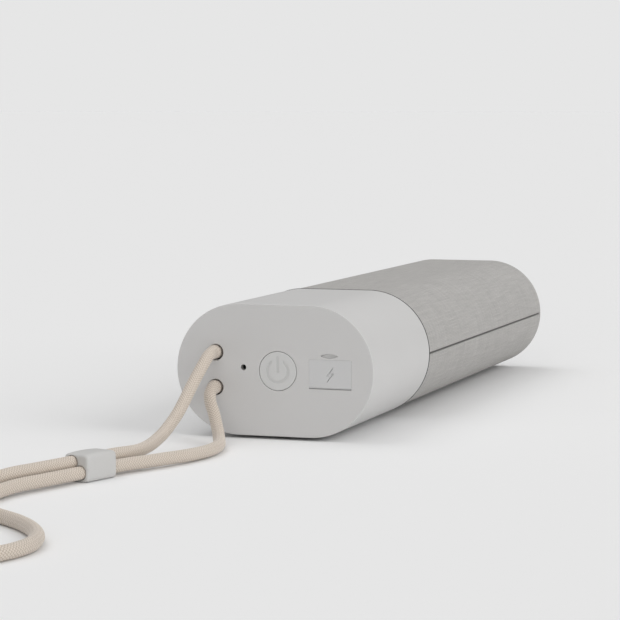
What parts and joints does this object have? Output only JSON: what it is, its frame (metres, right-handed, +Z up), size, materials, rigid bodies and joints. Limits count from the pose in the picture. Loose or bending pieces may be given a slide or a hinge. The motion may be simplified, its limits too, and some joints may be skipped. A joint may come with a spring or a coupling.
{
  "type": "smart speaker",
  "caption": "Portable racetrack-section smart speaker: moulded control cap with power button and port flap, fabric-covered body and braided wrist strap.",
  "frame": {"origin": "on the surface the feet stand on, under the middle of the body (strap left out)", "axes": "+Z up from the flat underside, +Y along the body from the control face to the far end, +X across, so that the strap holes are on the -X side"},
  "size_m": [0.0969, 0.4979, 0.0461],
  "materials": {
    "cap_plastic": "fine matte texture, light warm grey",
    "button_plastic": "satin moulded, light grey",
    "flap_rubber": "satin soft-touch, light grey",
    "fabric": "fine plain weave, warm grey",
    "strap_braid": "tight diamond braid, beige",
    "slider_rubber": "matte, light grey",
    "foot_rubber": "matte black",
    "end_plastic": "fine matte texture, light warm grey",
    "grille_plastic": "moulded, dark grey",
    "shell_plastic": "moulded, dark grey",
    "black_plastic": "moulded, black",
    "seal_rubber": "black silicone",
    "steel": "zinc plated",
    "magnet_steel": "zinc plated",
    "brass": "turned",
    "paper_cone": "pressed paper pulp, black",
    "copper": "enamelled winding",
    "radiator_plate": "satin",
    "spider_cloth": "resin-treated cotton",
    "cell_wrap": "PVC sleeve over a metal can",
    "board_green": "solder-masked glass epoxy",
    "component": "moulded parts",
    "polyimide": "polyimide film",
    "wire": "PVC insulated"
  },
  "bodies": {
    "root": {"control_cap": "cap_plastic", "button_guide": "shell_plastic", "switch_body": "black_plastic", "flap_pin": "steel", "usb_receptacle": "steel", "microphone": "brass", "mic_gasket": "seal_rubber", "control_board": "board_green", "control_board_screws": "steel", "antenna": "copper", "strap": "strap_braid", "strap_ferrules": "brass", "strap_clamp": "shell_plastic", "bulkhead": "black_plastic", "cap_gasket": "seal_rubber", "cable_grommet": "seal_rubber", "cap_screws": "steel", "enclosure_front": "shell_plastic", "enclosure_rear": "shell_plastic", "enclosure_screws": "steel", "grille": "grille_plastic", "fabric_sleeve": "fabric", "end_cap": "end_plastic", "foot_front": "foot_rubber", "foot_rear": "foot_rubber", "battery_cells": "cell_wrap", "cell_tabs": "steel", "battery_cradle": "black_plastic", "main_board": "board_green", "main_board_screws": "steel", "shield_can": "steel", "board_parts": "component", "ribbon_cable": "polyimide", "speaker_leads": "wire", "driver_basket_a": "shell_plastic", "driver_magnet_a": "magnet_steel", "driver_spider_a": "spider_cloth", "driver_surround_a": "seal_rubber", "radiator_frame_a": "shell_plastic", "radiator_surround_a": "seal_rubber", "driver_basket_b": "shell_plastic", "driver_magnet_b": "magnet_steel", "driver_spider_b": "spider_cloth", "driver_surround_b": "seal_rubber", "radiator_frame_b": "shell_plastic", "radiator_surround_b": "seal_rubber"},
    "button": {"power_button": "button_plastic"},
    "plunger": {"switch_plunger": "brass"},
    "flap": {"port_flap": "flap_rubber"},
    "slider": {"strap_slider": "slider_rubber"},
    "cone_a": {"driver_cone_a": "paper_cone", "driver_coil_a": "copper"},
    "cone_b": {"driver_cone_b": "paper_cone", "driver_coil_b": "copper"},
    "radiator_a": {"radiator_plate_a": "radiator_plate"},
    "radiator_b": {"radiator_plate_b": "radiator_plate"}
  },
  "joints": [
    {"name": "power_button_press", "type": "slide", "parent": "root", "child": "button", "axis": [0, 1, 0], "range_m": [0, 0.0004], "stiffness_N_per_m": 3000},
    {"name": "switch_plunger_press", "type": "slide", "parent": "root", "child": "plunger", "axis": [0, 1, 0], "range_m": [0, 0.0004]},
    {"name": "port_flap_hinge", "type": "hinge", "parent": "root", "child": "flap", "pos_m": [0.01995, -0.12425, 0.01895], "axis": [1, 0, 0], "range_deg": [0, 95]},
    {"name": "slider_slide", "type": "slide", "parent": "root", "child": "slider", "axis": [-0.2747, -0.9615, 0], "range_m": [0, 0.022]},
    {"name": "driver_cone_a_stroke", "type": "slide", "parent": "root", "child": "cone_a", "axis": [-1, 0, 0], "range_m": [-0.002, 0.002], "stiffness_N_per_m": 1000, "deforming": ["driver_surround_a", "driver_spider_a"]},
    {"name": "driver_cone_b_stroke", "type": "slide", "parent": "root", "child": "cone_b", "axis": [-1, 0, 0], "range_m": [-0.002, 0.002], "stiffness_N_per_m": 1000, "deforming": ["driver_surround_b", "driver_spider_b"]},
    {"name": "radiator_plate_a_stroke", "type": "slide", "parent": "root", "child": "radiator_a", "axis": [1, 0, 0], "range_m": [-0.0025, 0.0025], "stiffness_N_per_m": 600, "deforming": ["radiator_surround_a"]},
    {"name": "radiator_plate_b_stroke", "type": "slide", "parent": "root", "child": "radiator_b", "axis": [1, 0, 0], "range_m": [-0.0025, 0.0025], "stiffness_N_per_m": 600, "deforming": ["radiator_surround_b"]}
  ],
  "couplings": [
    {"joint": "switch_plunger_press", "follows": "power_button_press", "ratio": 1}
  ]
}
